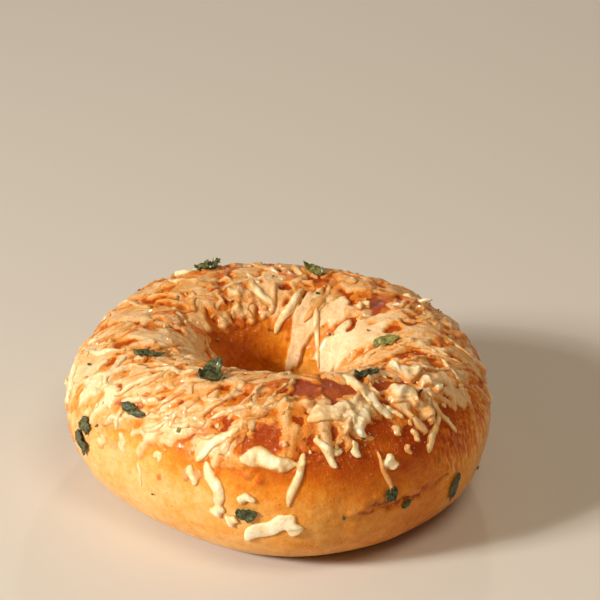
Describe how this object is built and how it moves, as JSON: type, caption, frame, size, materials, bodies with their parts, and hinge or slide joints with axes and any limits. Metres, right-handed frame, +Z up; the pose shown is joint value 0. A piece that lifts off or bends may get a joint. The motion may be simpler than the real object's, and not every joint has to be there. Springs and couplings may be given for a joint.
{
  "type": "bagel",
  "caption": "Round bagel with a hole in the middle, baked with melted grated cheese and bits of green herb on its golden brown crust.",
  "frame": {"origin": "on the flat underside, at the middle of the bounding box seen from above", "axes": "+Z up out of the hole, -Y towards the side that the picture shows, +X to its right"},
  "size_m": [0.1094, 0.1111, 0.0434],
  "materials": {
    "crust": "baked bread crust, golden on the sides and red brown on top, satin with a thin shine of oil",
    "cheese": "melted and lightly toasted grated cheese, cream to tan, soft shine",
    "herb": "dried and baked green herb leaf, dark and crumpled"
  },
  "bodies": {
    "root": {"bagel": "crust"}
  },
  "joints": []
}
